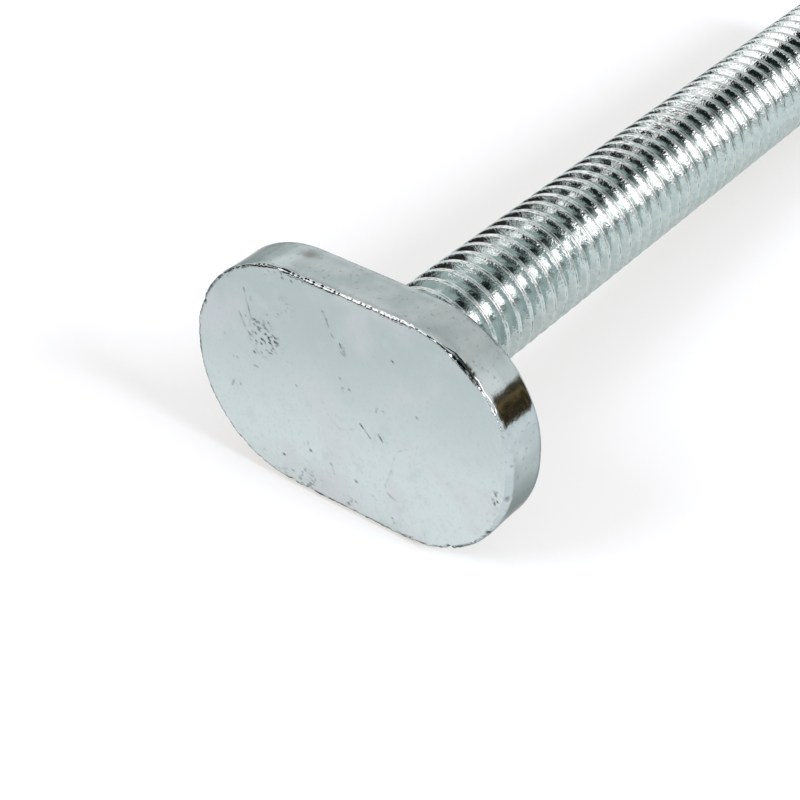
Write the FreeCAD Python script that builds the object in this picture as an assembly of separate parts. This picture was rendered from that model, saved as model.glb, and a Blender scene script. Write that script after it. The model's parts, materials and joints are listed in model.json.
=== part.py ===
"""A t slot bolt: an oblong head, flat on both faces, on a fully threaded shank.

The head slides in a slot whose lips are narrower than its length, and the shank stands out
through the lips. The head and the shank are forged from one bar, so the bolt is one solid.

The bolt lies on its side as it comes to rest on a flat surface: on the straight lower side of
the head, and on the lower edge of the tip. The origin is where the shank's axis meets the
bearing face under the head. +X runs along the shank, seen from above, +Y along the head's
length, and +Z up. All sizes are in millimetres.
"""
import FreeCAD, Part
import math
import os

# Head, an oblong with two long straight sides and blunt round ends
head_length = 18.0
head_width = 12.0
head_thickness = 2.5
head_end_flat = 0.4
front_edge_radius = 0.2
bearing_edge_radius = 0.2

# Shank, at the thread's crests, with a chamfered tip
thread_diameter = 5.9
shank_length = 50.0
tip_chamfer_length = 0.8
tip_chamfer_depth = 0.65
neck_length = 0.2
neck_step = 0.05

# Thread, M6 by 1, right hand, over the whole shank, in flat facets along a helix
thread_pitch = 1.0
thread_flank_angle = 30.0
first_crest = 0.02
facets_per_turn = 16


def vector(x, y, z):
    return FreeCAD.Vector(x, y, z)


def line(start, end):
    return Part.LineSegment(start, end).toShape()


def flat_face(*corners):
    return Part.Face(Part.makePolygon(list(corners) + [corners[0]]))


def round_end(side, x):
    """The edges of one end of the head's outline, from its upper long side to its lower one."""
    radius = (head_width - head_end_flat) / 2
    centre_y = head_length / 2 - radius
    half_flat = head_end_flat / 2
    diagonal = radius * math.sqrt(0.5)
    top = vector(x, side * centre_y, half_flat + radius)
    upper_middle = vector(x, side * (centre_y + diagonal), half_flat + diagonal)
    upper_end = vector(x, side * (centre_y + radius), half_flat)
    lower_end = vector(x, side * (centre_y + radius), -half_flat)
    lower_middle = vector(x, side * (centre_y + diagonal), -half_flat - diagonal)
    bottom = vector(x, side * centre_y, -half_flat - radius)
    upper_arc = Part.Arc(top, upper_middle, upper_end).toShape()
    lower_arc = Part.Arc(lower_end, lower_middle, bottom).toShape()
    return [upper_arc, line(upper_end, lower_end), lower_arc], top, bottom


def rim_edges(solid, x):
    """The edges of the solid that lie in the plane at x."""
    return [edge for edge in solid.Edges if abs(edge.BoundBox.XMin - x) + abs(edge.BoundBox.XMax - x) < 1e-6]


def make_head():
    """The forged head, from its front face at minus its thickness to its bearing face at zero."""
    front = -head_thickness
    left_end, left_top, left_bottom = round_end(1, front)
    right_end, right_top, right_bottom = round_end(-1, front)
    edges = left_end + right_end + [line(left_top, right_top), line(left_bottom, right_bottom)]
    outline = Part.Wire(Part.__sortEdges__(edges))
    slab = Part.Face(outline).extrude(vector(head_thickness, 0, 0))
    slab = slab.makeFillet(front_edge_radius, rim_edges(slab, front))
    return slab.makeFillet(bearing_edge_radius, rim_edges(slab, 0.0))


def thread_section():
    """The corners of the thread over one pitch, each as (place along the axis, distance from it).

    They run from one side of a crest, across it, down a flank to the root, and across the root.
    The shares of the pitch are those of an ISO metric thread with its crest a little worn.
    """
    crest = thread_diameter / 2
    depth = 0.56 * thread_pitch
    half_crest = 0.135 * thread_pitch
    middle = thread_pitch / 2
    half_root = middle - half_crest - depth * math.tan(math.radians(thread_flank_angle))
    root = crest - depth
    return [(-half_crest, crest), (half_crest, crest), (middle - half_root, root), (middle + half_root, root)]


def thread_point(section, start, corner, step):
    """A point of the thread, so many facets along the helix that passes the top at start.

    A corner number past the section's last one goes on in the next turn.
    """
    turn, corner = divmod(corner, len(section))
    along, radius = section[corner]
    turns = turn + step / facets_per_turn
    angle = 2 * math.pi * turns
    return vector(start + along + turns * thread_pitch, -radius * math.sin(angle), radius * math.cos(angle))


def make_thread():
    """The bare thread, longer than the shank at both ends, where flat faces meet on the axis."""
    section = thread_section()
    hidden_turns = math.ceil(head_thickness / thread_pitch)
    start = first_crest - hidden_turns * thread_pitch
    steps = facets_per_turn * (math.ceil((shank_length - start) / thread_pitch) + 1)
    point = lambda corner, step: thread_point(section, start, corner, step)
    faces = []
    for step in range(steps):
        for corner in range(len(section)):
            diagonal = [point(corner, step + 1), point(corner + 1, step)]
            faces.append(flat_face(point(corner, step), *diagonal))
            faces.append(flat_face(point(corner + 1, step + 1), *reversed(diagonal)))
    for step, outward in ((0, -1), (steps, 1)):
        middle = point(0, step).x + (thread_pitch + outward * thread_pitch) / 2
        apex = vector(middle + outward * thread_pitch, 0, 0)
        rim = [point(corner, step) for corner in range(len(section) + 1)]
        rim += [point(0, step + back) for back in range(facets_per_turn - 1, -1, -1)]
        faces += [flat_face(apex, here, there) for here, there in zip(rim, rim[1:])]
    shell = Part.makeShell(faces)
    shell.sewShape()
    return Part.makeSolid(shell)


def make_shank():
    """The thread, cut off square inside the head and to a chamfer at the tip.

    A short round neck, a hair wider than the thread, joins it to the bearing face.
    """
    root = -head_thickness / 2
    reach = thread_diameter
    tip_radius = thread_diameter / 2 - tip_chamfer_depth
    chamfer_foot = shank_length - (reach - tip_radius) * tip_chamfer_length / tip_chamfer_depth
    corners = [
        vector(root, 0, 0),
        vector(root, 0, reach),
        vector(chamfer_foot, 0, reach),
        vector(shank_length, 0, tip_radius),
        vector(shank_length, 0, 0),
    ]
    axis = vector(1, 0, 0)
    room = flat_face(*corners).revolve(vector(0, 0, 0), axis, 360)
    neck_radius = thread_diameter / 2 + neck_step
    neck = Part.makeCylinder(neck_radius, neck_length - root, vector(root, 0, 0), axis)
    return make_thread().common(room).fuse(neck)


def resting_tilt():
    """How far the shank dips, in degrees, once the head's bearing rim and the tip both touch down.

    The surface is a line that is tangent to the rounded lower rim of the bearing face and
    passes through the lowest point at the thread's crest diameter, where the chamfer starts.
    """
    rim_centre_x = -bearing_edge_radius
    rim_centre_z = -(head_width / 2 - bearing_edge_radius)
    tip_x = shank_length - tip_chamfer_length
    tip_z = -thread_diameter / 2
    run = tip_x - rim_centre_x
    rise = tip_z - rim_centre_z
    slope = math.atan2(rise, run)
    rounding = math.asin(bearing_edge_radius / math.hypot(run, rise))
    return math.degrees(slope + rounding)


def make_bolt():
    bolt = make_head().fuse(make_shank())
    bolt.rotate(vector(0, 0, 0), vector(0, 1, 0), resting_tilt())
    return bolt


bolt = make_bolt()
os.makedirs("parts", exist_ok=True)
bolt.exportStep("parts/t_slot_bolt.step")

box = bolt.optimalBoundingBox()
print("solids", len(bolt.Solids), "valid", bolt.isValid(), "closed", bolt.Solids[0].isClosed())
print("resting tilt %.4f degrees" % resting_tilt())
print("box %.3f %.3f %.3f to %.3f %.3f %.3f" % (box.XMin, box.YMin, box.ZMin, box.XMax, box.YMax, box.ZMax))
print("volume %.1f cubic millimetres" % bolt.Volume)
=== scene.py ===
# %% [markdown]
# A zinc plated t slot bolt
#
# The bolt is one forged piece: an oblong head that slides in a slot, and a shank with a thread rolled
# into it from end to end. This lesson builds it from two closed meshes that stand for the one solid,
# because a head is easiest to press from a sheet and a thread is easiest to spin.
#
# Shapes are modelled in millimetres, upright on the bolt's own axis, and only then tipped over and
# scaled to metres, so that every number below is a size that a ruler on the bolt would show.

import json
import math

import bmesh
import bpy
from mathutils import Matrix, Vector, noise
from mathutils.kdtree import KDTree


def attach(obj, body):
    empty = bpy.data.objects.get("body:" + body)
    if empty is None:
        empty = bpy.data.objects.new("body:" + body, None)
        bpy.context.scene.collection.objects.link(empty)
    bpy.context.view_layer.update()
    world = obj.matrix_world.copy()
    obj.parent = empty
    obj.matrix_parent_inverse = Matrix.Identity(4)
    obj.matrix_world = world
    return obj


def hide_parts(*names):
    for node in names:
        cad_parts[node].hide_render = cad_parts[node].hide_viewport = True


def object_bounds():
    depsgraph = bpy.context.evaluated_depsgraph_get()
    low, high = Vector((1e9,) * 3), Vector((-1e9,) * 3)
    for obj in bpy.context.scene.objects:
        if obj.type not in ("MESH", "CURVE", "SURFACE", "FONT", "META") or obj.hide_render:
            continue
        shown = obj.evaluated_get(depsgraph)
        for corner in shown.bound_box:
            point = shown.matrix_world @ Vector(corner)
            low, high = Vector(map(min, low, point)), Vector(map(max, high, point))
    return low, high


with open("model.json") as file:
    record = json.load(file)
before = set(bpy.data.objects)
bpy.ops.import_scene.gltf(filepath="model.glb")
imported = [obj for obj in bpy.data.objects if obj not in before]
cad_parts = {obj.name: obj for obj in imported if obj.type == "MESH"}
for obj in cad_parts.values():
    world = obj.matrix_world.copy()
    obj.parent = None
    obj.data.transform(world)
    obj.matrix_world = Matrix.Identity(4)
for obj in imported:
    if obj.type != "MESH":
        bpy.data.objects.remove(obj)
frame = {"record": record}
cad_low, cad_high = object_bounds()
mounts = {mount["name"]: mount for mount in frame["record"]["mounts"]}
MM = 0.001
axis = Vector(mounts["shank"]["axis"]).normalized()
tilt = math.atan2(-axis.z, axis.x)
crest_radius = mounts["shank"]["dims"]["r_mm"]
head_thickness = Vector(mounts["front_face"]["pos_m"]).length / MM
floor_z = cad_low.z
print("shank dips", round(math.degrees(tilt), 2), "degrees, head is", round(head_thickness, 2), "mm thick")

# %% [markdown]
# Sizes that the frame doesn't state
#
# The head is 18 by 12 mm. Its ends are round but a little blunt, with a short straight in the middle.
# The thread is M6 by 1: 6 mm across in name, a little less over its crests, one turn every millimetre.

# %% Sizes in millimetres
head_length = 18.0
head_width = 12.0
head_end_flat = 0.4
shank_length = 50.0
thread_pitch = 1.0
thread_depth = 0.56
neck_length = 0.2
neck_radius = 3.0
tip_chamfer_length = 0.8
tip_chamfer_depth = 0.65
print("the bolt is", round(shank_length + head_thickness, 2), "mm long over all")

# %% [markdown]
# The camera
#
# The photograph looks down on the front of the head from the left, and the shank runs away to the upper
# right. The camera stands where the photographer stood, worked out from the head's known sizes: at this
# distance the 18 mm face fills about 40 percent of the picture and the shank narrows visibly.

# %% Camera
camera_place = Vector((-50.98, -41.75, 53.15)) * MM
camera_aim = Vector((-0.51, -1.56, 0.0)) * MM
camera_roll = math.radians(-2.03)

camera_data = bpy.data.cameras.new("photo_camera")
camera_data.lens = 82.47
camera_data.sensor_width = 36.0
camera_data.clip_start = 0.001
camera_data.clip_end = 20.0
camera = bpy.data.objects.new("photo_camera", camera_data)
bpy.context.scene.collection.objects.link(camera)
aim = (camera_aim - camera_place).to_track_quat("-Z", "Y").to_matrix().to_4x4()
camera.matrix_world = Matrix.Translation(camera_place) @ aim @ Matrix.Rotation(camera_roll, 4, "Z")
bpy.context.scene.camera = camera
bpy.context.scene.view_settings.view_transform = "Standard"
print("camera is", round((camera_aim - camera_place).length / MM), "mm from the head")

# %% [markdown]
# From millimetres to the frame
#
# Every mesh is finished by the same few steps: merge doubles, make the faces point outwards, scale to
# metres and tip the bolt about the Y axis by the angle at which it rests. The object itself stays at
# the origin, unturned, so that a pattern in Object coordinates stays put on the metal.

# %% Finish a mesh and place it
rest_turn = Matrix.Rotation(tilt, 4, "Y")
merge_distance = 0.0005


def place_in_frame(bm, name):
    bmesh.ops.remove_doubles(bm, verts=bm.verts, dist=merge_distance)
    bmesh.ops.recalc_face_normals(bm, faces=bm.faces)
    bm.transform(rest_turn @ Matrix.Scale(MM, 4))
    mesh = bpy.data.meshes.new(name)
    bm.to_mesh(mesh)
    bm.free()
    mesh.shade_smooth()
    piece = bpy.data.objects.new(name, mesh)
    bpy.context.scene.collection.objects.link(piece)
    open_edges = sum(1 for edge in edge_uses(mesh).values() if edge != 2)
    counts = (len(mesh.vertices), len(mesh.polygons), open_edges)
    print(name, "has %d points, %d faces and %d open edges" % counts)
    return piece


def edge_uses(mesh):
    """How many polygons share each edge."""
    uses = {}
    for polygon in mesh.polygons:
        for key in polygon.edge_keys:
            uses[key] = uses.get(key, 0) + 1
    return uses


def clamp(value):
    return max(0.0, min(1.0, value))


def ragged(place, size):
    """Smooth noise between about -1 and 1 whose bumps are of the given size in millimetres."""
    return noise.noise(place / size)


# %% [markdown]
# The head's front face
#
# The face is stamped flat and then knocked about in a bin, so it needs enough points for small dents.
# An even grid gives them: each row of a square grid is stretched to the head's length at that height,
# and the rows are spaced by equal turns of the round ends, so that the grid's rim is the true outline.

# %% The face as a stretched grid
corner_radius = (head_width - head_end_flat) / 2
corner_y = head_length / 2 - corner_radius
corner_z = head_end_flat / 2
face_cells = 230
blunt_share = 0.02


def half_row(share):
    """Half the head's length, and the height, at a share of the way from the middle to the top or bottom.

    The rows nearest the middle, up to the blunt share, cover the short straight of the ends.
    """
    if abs(share) < blunt_share:
        return corner_y + corner_radius, corner_z * share / blunt_share
    turn = (abs(share) - blunt_share) / (1 - blunt_share) * math.pi / 2
    height = corner_z + corner_radius * math.sin(turn)
    return corner_y + corner_radius * math.cos(turn), math.copysign(height, share)


def make_face():
    """A flat grid in the shape of the head, at the height of its front face."""
    bm = bmesh.new()
    bmesh.ops.create_grid(bm, x_segments=face_cells, y_segments=face_cells, size=1.0)
    for vert in bm.verts:
        half_length, height = half_row(vert.co.y)
        vert.co = Vector((-head_thickness, vert.co.x * half_length, height))
    return bm


def outward(place):
    """The direction, across the head, from its middle bar to a place, and how far the place is from it."""
    nearest_y = max(-corner_y, min(corner_y, place.y))
    nearest_z = max(-corner_z, min(corner_z, place.z))
    away = Vector((0, place.y - nearest_y, place.z - nearest_z))
    distance = away.length
    return (away / distance if distance > 0 else Vector((0, 0, 0))), distance


head_mesh = make_face()
print("the face has", len(head_mesh.verts), "points")

# %% [markdown]
# The rims
#
# Where the face meets the wall there is a small rounding, and it isn't even: it is about a sixth of a
# millimetre along the straights, comes and goes in beads, is flattened by a knock at the upper right,
# and is worn soft at the right end. So the grid is first drawn in from the outline by the width that the
# rounding has there.

# %% How wide the rounding is
rim_width = 0.18
least_rim_width = 0.05
rim_reach = 1.5
knock_y = -6.4
knock_half_length = 0.85
knock_foot = 2.0
knock_width = 0.16
worn_width = 0.22


def knocked_at(edge):
    """How much a place belongs to the stretch at the upper right where the rim was struck."""
    return clamp(1.8 * (1 - abs(edge.y - knock_y) / knock_half_length)) * clamp(edge.z - knock_foot)


def worn_at(edge):
    """How much a place belongs to the stretch at the right end where the rim is worn soft."""
    return clamp((-edge.y - 7.7) / 0.9) * clamp(2.4 - edge.z) * clamp((edge.z + 4.6) / 2.0)


def rounding_at(place):
    """The width of the rim's rounding beside a place on the face."""
    direction, distance = outward(place)
    edge = place + direction * (corner_radius - distance)
    beads = 0.5 * ragged(edge, 0.45) + 0.45 * ragged(edge, 0.17)
    knocked = knocked_at(edge) * (1 + ragged(edge, 0.2))
    width = rim_width * (1 + beads) + worn_width * worn_at(edge) + knock_width * knocked
    return max(least_rim_width, width)


for vert in head_mesh.verts:
    direction, distance = outward(vert.co)
    depth_in = corner_radius - distance
    vert.co -= direction * rounding_at(vert.co) * clamp(1 - depth_in / rim_reach)
widths = [rounding_at(vert.co) for vert in head_mesh.verts if vert.is_boundary]
print("the rounding is", round(min(widths), 2), "to", round(max(widths), 2), "mm wide")

# %% [markdown]
# The wall of the head
#
# The wall goes straight back from the face to the bearing face, which rests against the slot's lips.
# The face's boundary is extruded ring by ring: round the front rounding, along the wall, round the rear
# rounding and a little way in. One last face then closes the back, where the shank hides its middle.
# Each kind of ring is a rule: from a place on the outline it works out how far in the ring lies there,
# and at which x.

# %% Rims and wall, ring by ring
rim_steps = 5
bearing_rim = 0.17
bearing_steps = 4
wall_places = (0.42, 0.75, 1.1, 1.45, 1.8, 2.1)
bearing_insets = (0.05, 0.3, 1.5)


def add_ring(bm, move):
    """Extrudes the open boundary and moves each new point to where the given rule says."""
    rim = [edge for edge in bm.edges if edge.is_boundary]
    made = bmesh.ops.extrude_edge_only(bm, edges=rim)
    for item in made["geom"]:
        if isinstance(item, bmesh.types.BMVert):
            direction, distance = outward(item.co)
            base = item.co - direction * distance
            inset, x = move(base + direction * corner_radius)
            item.co = base + direction * (corner_radius - inset)
            item.co.x = x


def front_rim(turn):
    def move(edge):
        edge.x = -head_thickness
        width = rounding_at(edge)
        height = 0.8 * width
        uneven = 0.006 * ragged(edge + Vector((turn, 0, 0)), 0.16)
        return width * (1 - math.sin(turn)) + uneven, -head_thickness + height * (1 - math.cos(turn))
    return move


def wall_at(depth):
    def move(edge):
        edge.x = depth
        return 0.012 + 0.012 * ragged(edge, 1.6) + 0.003 * ragged(edge, 0.3), -head_thickness + depth
    return move


def bearing_rim_at(turn):
    def move(edge):
        return bearing_rim * (1 - math.cos(turn)), -bearing_rim * (1 - math.sin(turn))
    return move


def bearing_face_at(inset):
    return lambda edge: (bearing_rim + inset, 0.0)


rings = [front_rim(math.pi / 2 * step / rim_steps) for step in range(1, rim_steps + 1)]
rings += [wall_at(depth) for depth in wall_places]
rings += [bearing_rim_at(math.pi / 2 * step / bearing_steps) for step in range(bearing_steps + 1)]
rings += [bearing_face_at(inset) for inset in bearing_insets]
for ring in rings:
    add_ring(head_mesh, ring)
last_rim = [edge for edge in head_mesh.edges if edge.is_boundary]
bmesh.ops.contextual_create(head_mesh, geom=last_rim)
print("the head has", len(rings), "rings and", len(head_mesh.faces), "faces")

# %% [markdown]
# Dents and scratches
#
# A plated face shows each knock as a tiny dark hollow, because dirt stays in it. The marks are pressed
# into the grid: a tree of the face's points finds the few that each mark reaches. How dirty a point is
# goes into an attribute, wear_and_shade, that the material reads later; the rims add their painted shade
# to it further down. Places are from the face's middle, to the left and up.

# %% Press marks into the face
scratches = (
    (((5.93, 4.08), (5.84, 3.52), (5.72, 3.19), (5.55, 2.49)), 0.55),
    (((6.28, 2.64), (6.11, 2.28), (5.93, 1.87), (5.75, 1.69), (5.46, 1.55)), 0.6),
    (((1.31, 4.72), (1.10, 4.37), (0.82, 3.65), (0.62, 3.50)), 0.5),
    (((0.36, 3.38), (0.24, 3.18)), 0.9),
    (((0.30, 2.95), (0.10, 2.82), (-0.13, 3.04)), 0.5),
    (((-1.70, 0.50), (-1.76, 0.72), (-1.82, 0.78)), 0.6),
    (((-0.79, -0.57), (-1.14, -0.86), (-1.39, -1.11)), 0.75),
    (((-1.86, -0.68), (-2.00, -0.89), (-2.12, -1.02)), 0.8),
    (((-4.10, -0.14), (-3.98, -0.50), (-3.40, -0.80), (-2.89, -1.18), (-2.71, -1.79)), 0.35),
    (((-2.71, -1.79), (-2.60, -2.36), (-2.43, -3.00), (-2.25, -3.39)), 0.4),
    (((-2.25, -3.39), (-2.39, -3.79), (-2.57, -3.93), (-2.93, -4.04)), 0.5),
    (((0.79, -1.18), (0.36, -1.43), (-0.07, -1.25), (-0.54, -0.96)), 0.35),
    (((6.81, -1.50), (6.90, -1.66), (6.96, -1.85)), 0.65),
    (((6.43, -1.48), (6.41, -1.62)), 0.5),
    (((2.31, -3.00), (2.31, -3.22)), 0.4),
    (((0.96, -3.70), (0.80, -4.00), (0.75, -4.25)), 0.6),
    (((-1.50, -4.40), (-1.75, -4.60)), 0.35),
    (((4.52, 2.74), (4.34, 2.60)), 0.9),
    (((4.30, 2.16), (4.12, 2.04)), 0.8),
    (((5.52, -0.06), (5.22, -0.07)), 0.5),
)
specks = (
    ((5.89, 2.56), 0.6), ((5.55, 3.74), 0.5), ((5.55, 3.59), 0.5), ((5.34, 2.58), 0.8),
    ((5.14, 2.55), 0.6), ((5.38, 2.30), 0.8), ((5.15, 2.21), 0.9), ((5.11, 2.08), 0.8),
    ((5.34, 1.84), 0.9), ((4.68, 2.34), 0.8), ((4.81, 2.72), 0.5), ((4.58, 3.16), 0.5),
    ((3.93, 3.46), 0.5), ((3.69, 3.64), 0.4), ((3.46, 3.84), 0.4), ((5.64, 1.34), 0.5),
    ((5.28, 1.37), 0.5), ((5.02, 1.37), 0.5), ((4.34, 1.52), 0.6), ((4.40, 1.25), 0.6),
    ((4.14, 1.22), 0.5), ((5.47, 0.72), 1.0), ((5.34, 0.90), 0.5), ((5.00, 0.87), 0.5),
    ((3.43, 1.02), 0.4), ((7.28, 1.02), 0.5), ((-2.59, 3.69), 0.9), ((-1.60, 3.50), 0.3),
    ((-0.18, 1.08), 0.8), ((0.36, 1.44), 0.5), ((0.18, 0.83), 0.4), ((-2.09, 0.74), 0.6),
    ((-3.96, 1.27), 0.7), ((-0.54, -4.05), 1.0), ((2.18, -3.53), 1.0), ((3.84, -4.56), 1.0),
    ((3.16, -3.97), 0.4), ((-2.68, -5.18), 0.6), ((-2.79, -5.43), 0.5), ((-0.54, -5.29), 0.6),
    ((-0.10, -5.60), 0.8), ((3.31, -5.29), 0.7), ((2.12, -5.34), 0.6), ((5.05, -4.86), 0.4),
    ((6.78, -0.07), 0.5), ((6.56, -0.06), 0.6), ((2.95, -0.10), 0.7), ((1.10, -0.90), 0.4),
    ((3.49, -2.38), 0.4), ((-8.30, -0.90), 0.7), ((-8.22, -1.25), 0.5), ((-8.60, -1.40), 0.5),
    ((4.40, 5.60), 0.5), ((3.60, 5.55), 0.7), ((3.08, 5.58), 0.7), ((7.20, 4.30), 0.6),
    ((1.31, 4.70), 0.6), ((1.10, 4.35), 0.6),
)
scratch_reach = 0.09
speck_reach = 0.11
mark_depth = 0.03
press_spacing = 0.03
flat_tolerance = 0.0005

wear_and_shade = head_mesh.verts.layers.float.new("wear_and_shade")
face_verts = [vert for vert in head_mesh.verts if vert.co.x < -head_thickness + flat_tolerance]
face_tree = KDTree(len(face_verts))
for number, vert in enumerate(face_verts):
    face_tree.insert(vert.co, number)
face_tree.balance()


def press(y, z, reach, strength):
    """Pushes the points round a place in, most at its middle, and leaves dirt there."""
    for _, number, distance in face_tree.find_range(Vector((-head_thickness, y, z)), reach):
        share = clamp(1.5 * (1 - distance / reach)) * strength
        vert = face_verts[number]
        vert.co.x = max(vert.co.x, -head_thickness + mark_depth * share)
        vert[wear_and_shade] = max(vert[wear_and_shade], 0.75 * share)


def press_line(points, strength):
    """A scratch is a row of small presses that skips here and there."""
    for start, end in zip(points, points[1:]):
        length = math.dist(start, end)
        steps = max(1, round(length / press_spacing))
        for step in range(steps + 1):
            y = start[0] + (end[0] - start[0]) * step / steps
            z = start[1] + (end[1] - start[1]) * step / steps
            skip = 0.75 + 0.7 * ragged(Vector((y, z, 0)), 0.25)
            press(y, z, scratch_reach, strength * clamp(skip))


for points, strength in scratches:
    press_line(points, strength)
for (y, z), strength in specks:
    press(y, z, speck_reach, 0.85 * strength)
    press(y - 0.08, z - 0.04, scratch_reach, 0.6 * strength)
print(len(scratches), "scratches and", len(specks), "specks")

# %% [markdown]
# Scuffs and nicks
#
# In a few areas the face was rubbed by other bolts: many short marks side by side. Noise that is cut off
# below a threshold gives such clusters. The rim has a few deeper nicks where it was struck.

# %% Scuff the face and nick the rim
scuffs = (
    ((4.75, 1.65), 1.3, 1.0),
    ((5.2, 2.3), 0.7, 0.7),
    ((4.1, 3.1), 0.9, 0.35),
    ((3.4, 4.1), 0.9, 0.35),
    ((0.25, 1.2), 0.6, 0.6),
    ((0.1, 3.1), 0.5, 0.5),
    ((-8.5, -1.2), 0.75, 0.8),
    ((-8.2, -2.4), 0.8, 0.35),
    ((-0.55, -2.6), 0.7, 0.3),
    ((2.3, -5.5), 1.3, 0.55),
    ((4.0, -5.6), 0.9, 0.35),
    ((-0.3, -5.6), 0.9, 0.4),
    ((-2.7, -5.3), 0.7, 0.35),
    ((7.7, -3.6), 0.7, 0.35),
    ((7.0, 4.6), 0.7, 0.45),
    ((4.4, 5.6), 0.9, 0.45),
    ((8.5, 2.6), 0.6, 0.4),
    ((-2.1, -0.8), 0.7, 0.3),
    ((6.5, -1.6), 0.6, 0.3),
)
nicks = (
    ((3.34, -6.0), 0.16, 0.09),
    ((2.34, -6.0), 0.12, 0.06),
    ((-5.95, -5.3), 0.17, 0.10),
    ((-8.07, -3.35), 0.17, 0.09),
    ((-7.86, -3.7), 0.14, 0.07),
    ((8.30, -3.1), 0.14, 0.06),
    ((7.50, -4.2), 0.14, 0.06),
    ((7.45, 4.25), 0.16, 0.07),
    ((8.55, 2.4), 0.20, 0.06),
    ((-8.95, -1.0), 0.20, 0.08),
)

for (y, z), reach, strength in scuffs:
    centre = Vector((-head_thickness, y, z))
    for place, number, distance in face_tree.find_range(centre, reach):
        chatter = 0.7 * ragged(Vector((place.y / 1.7, place.z, y)), 0.11) + 0.5 * ragged(place, 0.3)
        share = clamp((chatter - 0.06) * 4.0) * strength * clamp(1.6 * (1 - distance / reach))
        vert = face_verts[number]
        vert.co.x = max(vert.co.x, -head_thickness + 0.6 * mark_depth * share)
        vert[wear_and_shade] = max(vert[wear_and_shade], 0.7 * share)

for (y, z), reach, depth in nicks:
    centre = Vector((-head_thickness, y, z))
    for vert in head_mesh.verts:
        distance = (vert.co - centre).length
        if distance < reach * 1.6:
            share = clamp(1.3 * (1 - distance / (reach * 1.6)))
            direction, _ = outward(vert.co)
            vert.co += (Vector((0.8, 0, 0)) - direction) * depth * share
            vert[wear_and_shade] = max(vert[wear_and_shade], 0.9 * share)

print(len(scuffs), "scuffs and", len(nicks), "nicks")

# %% [markdown]
# Painted shade along the rims
#
# The front rim gets painted shade: dark at the left end, along the bottom, and above all where it was
# knocked. Along the top it stays bright. The rim of the bearing face gets a little painted shade all
# round. With that, the head is done and goes to its place.

# %% Darken the rims and finish the head
front_rim_depth = 0.2
front_rim_middle = 0.07
front_rim_half = 0.15
bearing_rim_span = (-0.35, -0.02)
least_shade = 0.06


def rim_shade(place):
    """How much painted shade a place gets: up to 1 on the front rim, less on the bearing rim, and 0
    elsewhere.
    """
    direction, distance = outward(place)
    uneven = 0.75 + 0.9 * ragged(place, 0.5) + 0.7 * ragged(place, 0.14)
    if place.x < -head_thickness + front_rim_depth:
        at_rim = clamp(1.4 * (1 - abs(corner_radius - distance - front_rim_middle) / front_rim_half))
        # Painted shade: the rim is darkened at the left end and along the bottom, and more where it was
        # knocked.
        left_end = clamp((direction.y - 0.1) * 2.5)
        bottom = clamp((-direction.z - 0.35) * 2.5)
        side = max(left_end, bottom, least_shade)
        painted_shade = 0.75 * side * clamp(uneven) + 1.4 * knocked_at(place) * clamp(1.6 * uneven)
        return clamp(at_rim * painted_shade)
    # Painted shade: a little on the rim of the bearing face.
    if bearing_rim_span[0] < place.x < bearing_rim_span[1] and distance > corner_radius - 0.2:
        return 0.4 * clamp(uneven)
    return 0.0


# The rims' painted shade goes into the same attribute as the marks' dirt.
for vert in head_mesh.verts:
    vert[wear_and_shade] = max(vert[wear_and_shade], rim_shade(vert.co))
head = place_in_frame(head_mesh, "oblong_head")

# %% [markdown]
# The thread
#
# A rolled thread is one groove wound round the shank. Its section over one pitch is a short line: the
# crest, a flank at 30 degrees, a round root and the other flank. Spinning that line about the axis,
# with a step along the axis at every turn step, winds it into a helix whose turns meet edge to edge.
# Rolling squeezes metal up from both sides, so the crest is two fine ridges with a seam between them.

# %% One pitch of the thread's section
flank_slope = math.tan(math.radians(30))
root_radius = crest_radius - thread_depth
crest_half = 0.135
root_half = thread_pitch / 2 - crest_half - thread_depth * flank_slope
seam_half = 0.026
seam_depth = 0.05
support = 0.03


def rounded(before, corner, after, reach, steps):
    """A corner of a line, eased between two points that lie the same reach from it."""
    start = corner + (before - corner).normalized() * reach
    end = corner + (after - corner).normalized() * reach
    shares = [step / steps for step in range(steps + 1)]
    return [start.lerp(corner, share).lerp(corner.lerp(end, share), share) for share in shares]


def pitch_section():
    """The section as points (along the axis, from the axis), over one pitch, seam to seam.

    Each flank gets a point just inside both its ends, so that smooth shading keeps it flat.
    """
    seam = Vector((0.0, crest_radius - seam_depth))
    lip = Vector((seam_half, crest_radius - 0.004))
    shoulder = Vector((crest_half, crest_radius - 0.004))
    root = Vector((thread_pitch / 2 - root_half, root_radius))
    far_root = Vector((thread_pitch / 2 + root_half, root_radius))
    down = (root - shoulder).normalized()
    crown = Vector(((seam_half + crest_half) / 2, crest_radius + 0.004))
    points = [seam]
    points += rounded(seam, lip, crown, 0.012, 1)
    points += [crown]
    points += rounded(crown, shoulder, root, 0.03, 2)
    points += [shoulder + down * (0.03 + support), root - down * (0.05 + support)]
    points += rounded(shoulder, root, far_root, 0.06, 2)
    mirrored = [Vector((thread_pitch - point.x, point.y)) for point in reversed(points)]
    return points + mirrored


section = pitch_section()
print("the section has", len(section), "points, and the groove is", thread_depth, "mm deep")

# %% [markdown]
# Winding the thread
#
# Only one turn is spun. Its copies are moved along by one pitch each and their ends merge, which is quick
# and gives every turn the same even points. The thread starts out of sight inside the head, and both
# ends are cut square and closed.

# %% Wind the section into a thread
turn_steps = 72
hidden_start = -1.0
crest_start = -1.98
weld_distance = 0.001


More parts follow.
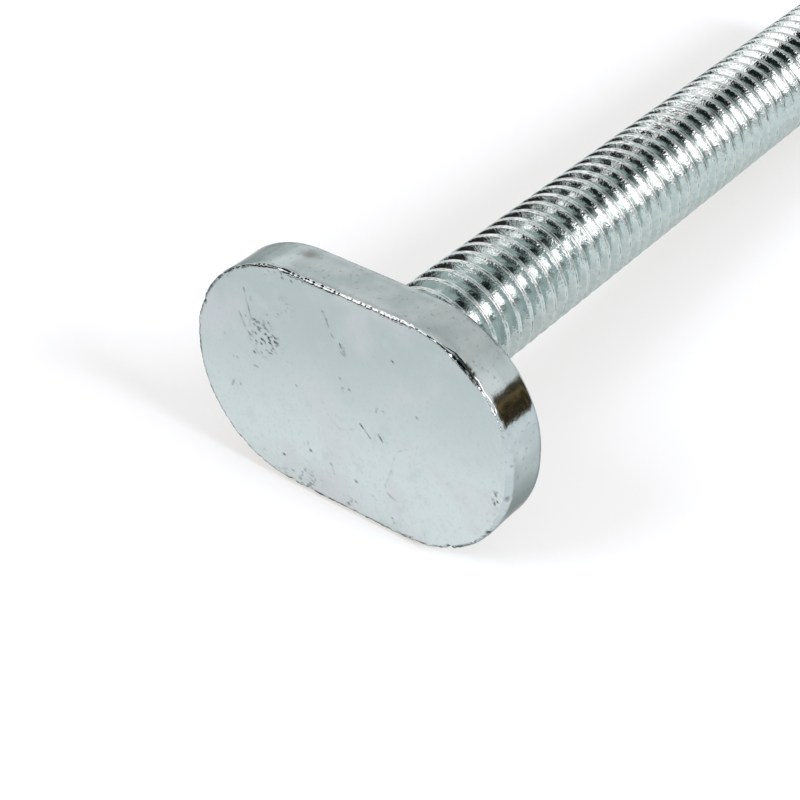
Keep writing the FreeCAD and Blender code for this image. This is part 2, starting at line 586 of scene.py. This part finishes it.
def wind_thread():
    """One turn is spun, and its copies are set end to end, a pitch apart."""
    turns = math.ceil((shank_length - hidden_start) / thread_pitch) + 2
    bm = bmesh.new()
    verts = [bm.verts.new((crest_start + point.x, 0.0, point.y)) for point in section]
    edges = [bm.edges.new(pair) for pair in zip(verts, verts[1:])]
    step = Vector((thread_pitch / turn_steps, 0, 0))
    bmesh.ops.spin(
        bm, geom=verts + edges, cent=(0, 0, 0), axis=(1, 0, 0), dvec=step,
        angle=2 * math.pi, steps=turn_steps, use_duplicate=False,
    )
    first_turn = bm.verts[:] + bm.edges[:] + bm.faces[:]
    for count in range(1, turns):
        copy = bmesh.ops.duplicate(bm, geom=first_turn)
        moved = [item for item in copy["geom"] if isinstance(item, bmesh.types.BMVert)]
        bmesh.ops.translate(bm, verts=moved, vec=(count * thread_pitch, 0, 0))
    bmesh.ops.remove_doubles(bm, verts=bm.verts, dist=weld_distance)
    return bm


def trim_and_cap(bm, x, outward_side):
    """Cuts the wound thread square at x and closes the cut with one face."""
    geometry = bm.verts[:] + bm.edges[:] + bm.faces[:]
    cut = bmesh.ops.bisect_plane(
        bm, geom=geometry, plane_co=(x, 0, 0), plane_no=(outward_side, 0, 0), clear_outer=True, dist=0.0002,
    )
    rim = [item for item in cut["geom_cut"] if isinstance(item, bmesh.types.BMEdge)]
    bmesh.ops.contextual_create(bm, geom=rim)


# %% [markdown]
# A rolled thread is never perfect
#
# The first turns under the head aren't rolled to full depth and come out rough, the crests wander a
# little, and the seam between their two ridges opens and closes. All this is one pass over the wound
# mesh that moves each point in or out by noise, then fits the neck and the chamfer of the tip.

# %% Wear the thread and shape its ends
run_in_start = -0.3
run_in_length = 3.2
first_depth = 0.62
crest_rise = 0.005
rough_rise = 0.022
side_wander = 0.03
seam_reach = 0.02


def from_seam(vert):
    """How far along the axis a point lies from the nearest seam."""
    pitches = (vert.co.x - crest_start) / thread_pitch + math.atan2(vert.co.y, vert.co.z) / (2 * math.pi)
    return abs(pitches - round(pitches)) * thread_pitch


def shape_thread(bm):
    chamfer_slope = tip_chamfer_depth / tip_chamfer_length
    for vert in bm.verts:
        x, y, z = vert.co
        radius = math.hypot(y, z)
        if radius < 0.1:
            continue
        depth = crest_radius - radius
        height = 1 - clamp(depth / thread_depth)
        run_in = clamp((x - run_in_start) / run_in_length)
        wander = 0.5 * ragged(vert.co, 0.7) + 0.4 * ragged(vert.co, 0.25) + 0.5 * ragged(vert.co, 0.12)
        if from_seam(vert) < seam_reach:
            depth *= 0.1 + 0.9 * clamp(0.4 + 1.2 * ragged(vert.co, 0.5))
        rise = (crest_rise + rough_rise * (1 - run_in)) * height * (1 + 1.4 * wander)
        depth = depth * (first_depth + (1 - first_depth) * run_in) + rise
        wanted = crest_radius - depth
        if x < neck_length:
            wanted = neck_radius
        tip_limit = crest_radius - tip_chamfer_depth + (shank_length - x) * chamfer_slope
        wanted = min(wanted, tip_limit)
        vert.co.y = y * wanted / radius
        vert.co.z = z * wanted / radius
        if neck_length < x < shank_length - 0.1:
            vert.co.x = x + side_wander * height * ragged(vert.co, 0.6) * (1.6 - run_in)


thread_mesh = wind_thread()
trim_and_cap(thread_mesh, hidden_start, -1)
trim_and_cap(thread_mesh, shank_length, 1)
shape_thread(thread_mesh)
shank = place_in_frame(thread_mesh, "threaded_shank")

# %% [markdown]
# Helpers for materials
#
# A material is a graph of nodes. A few small helpers keep the graphs below short. They add a node and
# set its values, mix two colours, ramp a number, do sums and make noise. The last two start a metal
# whose coordinates are millimetres on the bolt's own axis, turned back upright by a Mapping node, and
# stack bumps on it.

# %% Material helpers
def add(tree, kind, inputs=(), **settings):
    """Adds a node. Inputs are pairs of a socket and either a value or another node's socket."""
    node = tree.nodes.new(kind)
    for name, value in settings.items():
        setattr(node, name, value)
    for socket, value in inputs:
        if isinstance(value, bpy.types.NodeSocket):
            tree.links.new(value, node.inputs[socket])
        else:
            node.inputs[socket].default_value = value
    return node


def mixed(tree, share, first, second):
    """A colour that goes from the first to the second as the share goes from 0 to 1."""
    node = add(tree, "ShaderNodeMix", data_type="RGBA")
    for index, value in ((0, share), (6, first), (7, second)):
        if isinstance(value, bpy.types.NodeSocket):
            tree.links.new(value, node.inputs[index])
        else:
            node.inputs[index].default_value = value if index == 0 else (*value, 1)
    return node.outputs[2]


def ramp(tree, value, low, high):
    """A number that goes smoothly from 0 at low to 1 at high."""
    inputs = (("Value", value), ("From Min", low), ("From Max", high))
    return add(tree, "ShaderNodeMapRange", inputs, interpolation_type="SMOOTHSTEP").outputs["Result"]


def maths(tree, operation, first, second=0.0):
    return add(tree, "ShaderNodeMath", ((0, first), (1, second)), operation=operation).outputs[0]


def speckle(tree, place, size, detail=2.0):
    """Noise whose spots are of the given size in millimetres."""
    inputs = (("Vector", place), ("Scale", 1.0 / size), ("Detail", detail))
    return add(tree, "ShaderNodeTexNoise", inputs).outputs["Fac"]


def metal(name):
    material = bpy.data.materials.new(name)
    material.use_nodes = True
    tree = material.node_tree
    shader = tree.nodes["Principled BSDF"]
    shader.inputs["Metallic"].default_value = 1.0
    coordinates = add(tree, "ShaderNodeTexCoord")
    upright = (
        ("Vector", coordinates.outputs["Object"]),
        ("Rotation", (0, -tilt, 0)),
        ("Scale", (1 / MM,) * 3),
    )
    place = add(tree, "ShaderNodeMapping", upright).outputs["Vector"]
    return material, tree, shader, place


def bumpy(tree, shader, heights):
    """Stacks bumps, each a height between 0 and 1 and how many millimetres that is."""
    normal = None
    for height, depth in heights:
        inputs = [("Height", height), ("Distance", depth * MM), ("Strength", 1.0)]
        if normal:
            inputs.append(("Normal", normal))
        normal = add(tree, "ShaderNodeBump", inputs).outputs["Normal"]
    tree.links.new(normal, shader.inputs["Normal"])


print("helpers are ready")

# %% [markdown]
# Zinc on the face
#
# Zinc plate is a metal, so its colour is the colour of its reflections. The flat face is the dullest
# part: it shows only the pale floor in front of it, so what one sees is the plate itself, a cool grey
# with faint pinkish clouds, and dirt in every dent. Over that, it is painted lighter low down, as
# painted light that stands in for a brighter reflection of the floor.

# %% Face material
def face_zinc():
    material, tree, shader, place = metal("zinc_on_face")
    parts = add(tree, "ShaderNodeSeparateXYZ", ((0, place),))
    clouds = speckle(tree, place, 3.2, 3.0)
    small_clouds = speckle(tree, place, 0.9, 3.0)
    grain = speckle(tree, place, 0.16, 2.0)
    # Painted light: the face is made lighter low down, standing in for a brighter reflection of the floor.
    height = maths(tree, "ADD", parts.outputs["Z"], maths(tree, "MULTIPLY", parts.outputs["Y"], 0.14))
    low_down = ramp(tree, maths(tree, "ADD", height, maths(tree, "MULTIPLY", clouds, -3.0)), 3.6, -5.6)
    colour = mixed(tree, low_down, (0.43, 0.496, 0.492), (0.59, 0.66, 0.658))
    pink = maths(tree, "MULTIPLY", ramp(tree, clouds, 0.50, 0.66), 0.5)
    colour = mixed(tree, pink, colour, (0.56, 0.57, 0.60))
    green = maths(tree, "MULTIPLY", ramp(tree, small_clouds, 0.54, 0.70), 0.45)
    colour = mixed(tree, green, colour, (0.48, 0.565, 0.56))
    grains = maths(tree, "MULTIPLY", ramp(tree, grain, 0.52, 0.75), 0.3)
    colour = mixed(tree, grains, colour, (0.40, 0.45, 0.45))
    # Dark where the attribute says: dirt in the dents, and painted shade near the rim.
    wear_and_shade_value = add(tree, "ShaderNodeAttribute", attribute_name="wear_and_shade").outputs["Fac"]
    colour = mixed(tree, ramp(tree, wear_and_shade_value, 0.05, 0.72), colour, (0.04, 0.05, 0.047))
    tree.links.new(colour, shader.inputs["Base Color"])
    roughness = maths(tree, "ADD", 0.24, maths(tree, "MULTIPLY", small_clouds, 0.2))
    tree.links.new(roughness, shader.inputs["Roughness"])
    fine = speckle(tree, place, 0.07, 1.0)
    bumpy(tree, shader, ((small_clouds, 0.006), (grain, 0.0016), (fine, 0.0007)))
    return material


face_finish = face_zinc()
print("the face's material has", len(face_finish.node_tree.nodes), "nodes")

# %% [markdown]
# Zinc on the wall
#
# The wall of the head is smoother and shows its surroundings more sharply, a little blurred by fine
# grain. Low down it gets painted shade. There is a soft brown smudge on its top, left of the middle.

# %% Wall material
def wall_zinc():
    material, tree, shader, place = metal("zinc_on_wall")
    clouds = speckle(tree, place, 1.5, 3.0)
    grain = speckle(tree, place, 0.12, 2.0)
    colour = mixed(tree, ramp(tree, clouds, 0.35, 0.7), (0.45, 0.515, 0.52), (0.56, 0.62, 0.62))
    parts = add(tree, "ShaderNodeSeparateXYZ", ((0, place),))
    # Painted shade: low down the wall is mixed towards a darker grey.
    low_down = maths(tree, "MULTIPLY", ramp(tree, parts.outputs["Z"], 2.2, -1.5), 0.75)
    colour = mixed(tree, low_down, colour, (0.48, 0.545, 0.55))
    specks = maths(tree, "MULTIPLY", ramp(tree, speckle(tree, place, 0.22, 3.0), 0.60, 0.72), 0.45)
    colour = mixed(tree, specks, colour, (0.25, 0.27, 0.26))
    shader.inputs["Specular Tint"].default_value = (0.40, 0.43, 0.42, 1)
    smudge_at = add(tree, "ShaderNodeVectorMath", ((0, place), (1, (-0.75, 3.45, 6.0))), operation="SUBTRACT")
    smudge_size = (("Vector", smudge_at.outputs[0]), ("Scale", (1 / 0.55, 1 / 0.8, 0.4)))
    smudge = add(tree, "ShaderNodeMapping", smudge_size).outputs["Vector"]
    distance = add(tree, "ShaderNodeVectorMath", ((0, smudge),), operation="LENGTH").outputs["Value"]
    uneven = maths(tree, "ADD", distance, maths(tree, "MULTIPLY", speckle(tree, place, 0.5), 0.9))
    smudged = maths(tree, "MULTIPLY", ramp(tree, uneven, 1.45, 0.5), 0.6)
    colour = mixed(tree, smudged, colour, (0.20, 0.19, 0.17))
    # Dark where the attribute says: painted shade on the rims, and dirt in the nicks.
    wear_and_shade_value = add(tree, "ShaderNodeAttribute", attribute_name="wear_and_shade").outputs["Fac"]
    colour = mixed(tree, ramp(tree, wear_and_shade_value, 0.1, 1.0), colour, (0.05, 0.06, 0.055))
    tree.links.new(colour, shader.inputs["Base Color"])
    roughness = maths(tree, "ADD", 0.05, maths(tree, "MULTIPLY", clouds, 0.12))
    tree.links.new(roughness, shader.inputs["Roughness"])
    bumpy(tree, shader, ((speckle(tree, place, 0.6, 2.0), 0.006), (grain, 0.0016)))
    return material


wall_finish = wall_zinc()
print("the wall's material has", len(wall_finish.node_tree.nodes), "nodes")

# %% [markdown]
# Zinc on the thread
#
# The thread is the brightest part: mirror-like flanks whose small pits break every reflection into
# specks. The seam along each crest is painted nearly black, and the root of the groove darker, both
# as painted shade in the creases. To find the seam, the material works out the helix: the place along
# the axis, less the share of a turn, is the same all along a crest, and PINGPONG folds it into the
# distance from the nearest seam.

# %% Thread material
def thread_zinc():
    material, tree, shader, place = metal("zinc_on_thread")
    parts = add(tree, "ShaderNodeSeparateXYZ", ((0, place),))
    turn = maths(tree, "ARCTAN2", parts.outputs["Y"], parts.outputs["Z"])
    advance = maths(tree, "MULTIPLY", turn, thread_pitch / (2 * math.pi))
    turned = maths(tree, "ADD", parts.outputs["X"], advance)
    pitches = maths(tree, "SUBTRACT", turned, crest_start)
    wander = maths(tree, "MULTIPLY", maths(tree, "SUBTRACT", speckle(tree, place, 0.4), 0.5), 0.06)
    seam_distance = maths(tree, "PINGPONG", maths(tree, "ADD", pitches, wander), thread_pitch / 2)
    pits = speckle(tree, place, 0.10, 2.0)
    coarse = speckle(tree, place, 0.32, 2.0)
    colour = mixed(tree, ramp(tree, coarse, 0.35, 0.7), (0.455, 0.54, 0.53), (0.54, 0.61, 0.595))
    across = add(tree, "ShaderNodeVectorMath", ((0, place), (1, (0, 1, 1))), operation="MULTIPLY").outputs[0]
    radius = add(tree, "ShaderNodeVectorMath", ((0, across),), operation="LENGTH").outputs["Value"]
    outside = ramp(tree, radius, root_radius + 0.2, root_radius + 0.4)
    crest = maths(tree, "MULTIPLY", ramp(tree, seam_distance, 0.135, 0.10), outside)
    colour = mixed(tree, maths(tree, "MULTIPLY", crest, 0.3), colour, (0.58, 0.63, 0.62))
    # Painted shade: the seam along each crest is made nearly black.
    broken = maths(tree, "ADD", seam_distance, maths(tree, "MULTIPLY", coarse, 0.16))
    seam = maths(tree, "MULTIPLY", ramp(tree, broken, 0.10, 0.07), outside)
    colour = mixed(tree, maths(tree, "MULTIPLY", seam, 0.8), colour, (0.06, 0.075, 0.07))
    # Painted shade: the root of the groove is darkened.
    inside = maths(tree, "MULTIPLY", ramp(tree, radius, root_radius - 0.15, root_radius - 0.05), 0.6)
    painted_shade = maths(tree, "MULTIPLY", ramp(tree, seam_distance, 0.44, 0.49), inside)
    colour = mixed(tree, painted_shade, colour, (0.20, 0.22, 0.21))
    tree.links.new(colour, shader.inputs["Base Color"])
    roughness = maths(tree, "ADD", 0.07, maths(tree, "MULTIPLY", crest, 0.10))
    tree.links.new(roughness, shader.inputs["Roughness"])
    from_shoulder = maths(tree, "ABSOLUTE", maths(tree, "SUBTRACT", seam_distance, crest_half))
    burr_noise = maths(tree, "SUBTRACT", speckle(tree, place, 0.13, 2.0), 0.5)
    burr = maths(tree, "MULTIPLY", ramp(tree, from_shoulder, 0.08, 0.02), burr_noise)
    fine = speckle(tree, place, 0.045, 1.0)
    bumpy(tree, shader, ((coarse, 0.008), (burr, 0.026), (pits, 0.0075), (fine, 0.0016)))
    return material


shank.data.materials.append(thread_zinc())
print("the thread's material has", len(shank.data.materials[0].node_tree.nodes), "nodes")

# %% [markdown]
# Which polygons are face and which are wall
#
# The head has two finishes. A polygon that looks almost straight forwards belongs to the flat face, and
# all others belong to the rims, the wall and the back.

# %% Give the head its two finishes
forwards = rest_turn @ Vector((-1, 0, 0))
least_forwards = 0.97
for material in (face_finish, wall_finish):
    head.data.materials.append(material)
for polygon in head.data.polygons:
    polygon.material_index = 0 if polygon.normal.dot(forwards) > least_forwards else 1
face_count = sum(1 for polygon in head.data.polygons if polygon.material_index == 0)
print(face_count, "polygons of the face,", len(head.data.polygons) - face_count, "of the rest")

# %% [markdown]
# Floor and light
#
# The bolt lies on a white sheet under soft light. Bright metal shows what is round it, so the studio is
# a sheet, a pale surround and cards that the camera itself doesn't see.

# %% Floor
sheet_half_size = 1.5


def glow_material(name, colour, strength):
    material = bpy.data.materials.new(name)
    material.use_nodes = True
    tree = material.node_tree
    tree.nodes.clear()
    glow = add(tree, "ShaderNodeEmission", (("Color", (*colour, 1)), ("Strength", strength)))
    add(tree, "ShaderNodeOutputMaterial", (("Surface", glow.outputs[0]),))
    return material


def sheet_material():
    """White paper that takes the bolt's shadow, topped up with its own light where the camera looks.

    The paper takes cool light and the top-up is warm, so that open paper is white and a shadow is warm.
    """
    material = bpy.data.materials.new("white_sheet")
    material.use_nodes = True
    tree = material.node_tree
    tree.nodes.clear()
    paper = add(tree, "ShaderNodeBsdfDiffuse", (("Color", (0.32, 0.345, 0.39, 1)),))
    path = add(tree, "ShaderNodeLightPath")
    seen = maths(tree, "MAXIMUM", path.outputs["Is Camera Ray"], path.outputs["Is Glossy Ray"])
    glow = add(tree, "ShaderNodeEmission", (("Color", (0.44, 0.40, 0.34, 1)), ("Strength", seen)))
    both = add(tree, "ShaderNodeAddShader", ((0, paper.outputs[0]), (1, glow.outputs[0])))
    add(tree, "ShaderNodeOutputMaterial", (("Surface", both.outputs[0]),))
    return material


def make_sheet():
    bm = bmesh.new()
    bmesh.ops.create_grid(bm, x_segments=1, y_segments=1, size=sheet_half_size)
    bmesh.ops.translate(bm, verts=bm.verts, vec=(0, 0, floor_z))
    mesh = bpy.data.meshes.new("white_sheet")
    bm.to_mesh(mesh)
    bm.free()
    sheet = bpy.data.objects.new("white_sheet", mesh)
    bpy.context.scene.collection.objects.link(sheet)
    sheet.data.materials.append(sheet_material())
    return sheet


sheet = make_sheet()
print(sheet.name, "is", 2 * sheet_half_size, "m wide and lies at", round(floor_z / MM, 2), "mm")

# %% [markdown]
# The surround
#
# The world behind everything is white round the horizon, where it gives the open sheet its white, and
# white again straight overhead. Between them lies a greyer belt, so that the crests of the thread and
# the wall of the head don't wash out. A colour ramp over the height of the view gives all three.

# %% Surround
surround_tones = ((0.0, 0.98), (0.42, 0.98), (0.62, 0.66), (1.0, 1.0))
surround_strength = 1.05


def make_surround():
    """A white world with a greyer belt. A new colour ramp already has its first and its last stop."""
    world = bpy.data.worlds.new("surround")
    world.use_nodes = True
    tree = world.node_tree
    place = add(tree, "ShaderNodeTexCoord")
    parts = add(tree, "ShaderNodeSeparateXYZ", ((0, place.outputs["Generated"]),))
    tone_ramp = add(tree, "ShaderNodeValToRGB", (("Fac", parts.outputs["Z"]),))
    stops = tone_ramp.color_ramp.elements
    for height, tone in surround_tones[1:-1]:
        stops.new(height)
    for stop, (height, tone) in zip(stops, surround_tones):
        stop.color = (tone, tone, tone, 1)
    background = tree.nodes["Background"]
    background.inputs["Strength"].default_value = surround_strength
    tree.links.new(tone_ramp.outputs["Color"], background.inputs["Color"])
    bpy.context.scene.world = world
    return [(round(stop.position, 2), round(stop.color[0], 2)) for stop in stops]


print("surround tones by height", make_surround())

# %% [markdown]
# Cards round the bolt
#
# The windows and the dark things of the room are cards of light and of dark. Each stands in the
# direction in which the photograph shows it mirrored in a flank, a crest or the rim. Only mirror rays
# see them, so they neither light the sheet nor shade it. A card's numbers are its azimuth and elevation,
# how wide and how high it looks, all in degrees, and how many metres away it stands. One dark card is
# right above the head, where nothing stands: it is painted shade, a dark reflection that only the
# first turns of the thread see.

# %% Cards
def towards(azimuth, elevation):
    a = math.radians(azimuth)
    e = math.radians(elevation)
    return Vector((math.cos(a) * math.cos(e), math.sin(a) * math.cos(e), math.sin(e)))


def card(name, azimuth, elevation, wide, high, distance, colour, strength=1.0):
    """A card of light or of dark that faces the bolt. Its place and its size are angles seen from there."""
    direction = towards(azimuth, elevation)
    width = 2 * distance * math.tan(math.radians(wide) / 2)
    height = 2 * distance * math.tan(math.radians(high) / 2)
    bm = bmesh.new()
    bmesh.ops.create_grid(bm, x_segments=1, y_segments=1, size=0.5)
    bmesh.ops.scale(bm, verts=bm.verts, vec=(width, height, 1))
    turn = direction.to_track_quat("Z", "Y").to_matrix().to_4x4()
    bm.transform(Matrix.Translation(direction * distance) @ turn)
    mesh = bpy.data.meshes.new(name)
    bm.to_mesh(mesh)
    bm.free()
    made = bpy.data.objects.new(name, mesh)
    bpy.context.scene.collection.objects.link(made)
    made.data.materials.append(glow_material(name, colour, strength))
    made.visible_camera = False
    made.visible_diffuse = False
    made.visible_shadow = False
    return made


bright = (1.0, 1.0, 1.0)
warm = (1.0, 0.88, 0.89)
black = (0.012, 0.018, 0.016)
umber = (0.035, 0.028, 0.026)
edge_azimuths = (125, 155, 185, 215)
cards = [card("dark_edge_%d" % azimuth, azimuth, 0.5, 31, 7, 0.2, black) for azimuth in edge_azimuths]
cards += [
    card("window_far_left", 92, 46, 46, 34, 1.05, warm, 2.1),
    card("window_left_sill", 153, 24, 21, 8, 1.02, bright, 1.1),
    card("window_front_low", -161, 11, 22, 18, 0.9, warm, 5.5),
    card("window_front_side", -151, 22, 10, 17, 0.92, warm, 5.5),
    card("window_right", -67.5, 33, 13, 25, 0.9, (1.0, 0.78, 0.80), 6.5),
    card("dark_front", 181, 36, 27, 46, 0.95, black),
    card("dark_behind", 0, 20, 24, 16, 0.95, black),
    card("window_left", 148, 41, 34, 25, 1.02, warm, 2.3),
    # Painted shade: a dark card where nothing stands, mirrored only in the first turns.
    card("painted_shade_above_head", 103, 50, 34, 25, 0.0212, black),
    card("dark_left_side", 127, 15, 33, 14, 1.01, umber),
    card("dark_front_side", -158, 38, 19, 17, 0.94, black),
    card("dark_camera", -138, 36, 14, 14, 0.85, black),
    card("dark_overhead", -42, 64, 26, 22, 0.9, black),
    card("dark_left_low", 115, 5.5, 30, 13, 0.9, umber),
    card("dark_left_tall", 142, 8, 26, 18, 0.9, umber),
    card("dark_right_low", -76, 14, 10, 8, 0.85, black),
    card("window_far_right", 31, 14, 34, 20, 1.0, bright, 1.2),
    card("grey_far_right", -7, 30.5, 30, 7, 0.95, (0.3, 0.32, 0.32)),
]
print(len(cards), "cards")

# %% [markdown]
# The brown reflection
#
# Something brown stands close by on the right, and the end of the head mirrors it as a blotchy patch with
# blurred edges. It is one more card. Noise breaks its glow into dark and light, and it turns clear
# towards its edge.

# %% A blotchy card
brown_dark = (0.03, 0.02, 0.01)
brown_light = (0.22, 0.15, 0.07)
brown_radius = 0.0175
blotch_size = 6.0


def mottle(piece, dark, light, radius):
    """Makes a card blotchy and lets it fade out towards its edge."""
    tree = piece.data.materials[0].node_tree
    glow = tree.nodes["Emission"]
    out = tree.nodes["Material Output"]
    spot = add(tree, "ShaderNodeTexCoord").outputs["Object"]
    in_mm = add(tree, "ShaderNodeMapping", (("Vector", spot), ("Scale", (1 / MM,) * 3))).outputs[0]
    blotches = speckle(tree, in_mm, blotch_size, 3.0)
    tree.links.new(mixed(tree, ramp(tree, blotches, 0.40, 0.66), dark, light), glow.inputs["Color"])
    middle = sum((vert.co for vert in piece.data.vertices), Vector()) / len(piece.data.vertices)
    apart = add(tree, "ShaderNodeVectorMath", ((0, spot), (1, middle)), operation="SUBTRACT").outputs[0]
    away = add(tree, "ShaderNodeVectorMath", ((0, apart),), operation="LENGTH").outputs["Value"]
    faded = maths(tree, "ADD", away, maths(tree, "MULTIPLY", blotches, 0.5 * radius))
    share = ramp(tree, faded, 1.35 * radius, 0.95 * radius)
    clear = add(tree, "ShaderNodeBsdfTransparent").outputs[0]
    both = add(tree, "ShaderNodeMixShader", ((0, share), (1, clear), (2, glow.outputs[0])))
    tree.links.new(both.outputs[0], out.inputs["Surface"])


brown_card = card("brown_right", -49, 6, 30, 27, 0.078, brown_dark)
mottle(brown_card, brown_dark, brown_light, brown_radius)
print(brown_card.name, "fades out at about", round(brown_radius / MM, 1), "mm from its middle")

# %% [markdown]
# The lamps
#
# The darkest shadow in the photograph lies to the left of the head, so one light comes from the right.
# The shank is edged with shade on its right side too, so another comes from the left. Both are large
# and soft, and the mirror rays don't see them.

# %% Lamps
def soft_lamp(name, azimuth, elevation, distance, size, watts):
    data = bpy.data.lights.new(name, "AREA")
    data.shape = "DISK"
    data.size = size
    data.energy = watts
    lamp = bpy.data.objects.new(name, data)
    bpy.context.scene.collection.objects.link(lamp)
    direction = towards(azimuth, elevation)
    turn = direction.to_track_quat("Z", "Y").to_matrix().to_4x4()
    lamp.matrix_world = Matrix.Translation(direction * distance) @ turn
    lamp.visible_glossy = False
    return lamp


lamps = [
    soft_lamp("lamp_right", -88, 30, 0.8, 0.3, 8.6),
    soft_lamp("lamp_left", 145, 42, 0.9, 0.5, 6.0),
]
print(len(lamps), "lamps")

# %% [markdown]
# Handing the pieces to the frame
#
# Both meshes ride on the one body that the bolt is, and both stand for the plain solid.

# %% Ride and replace
for piece in (head, shank):
    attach(piece, "root")
    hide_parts("t_slot_bolt")
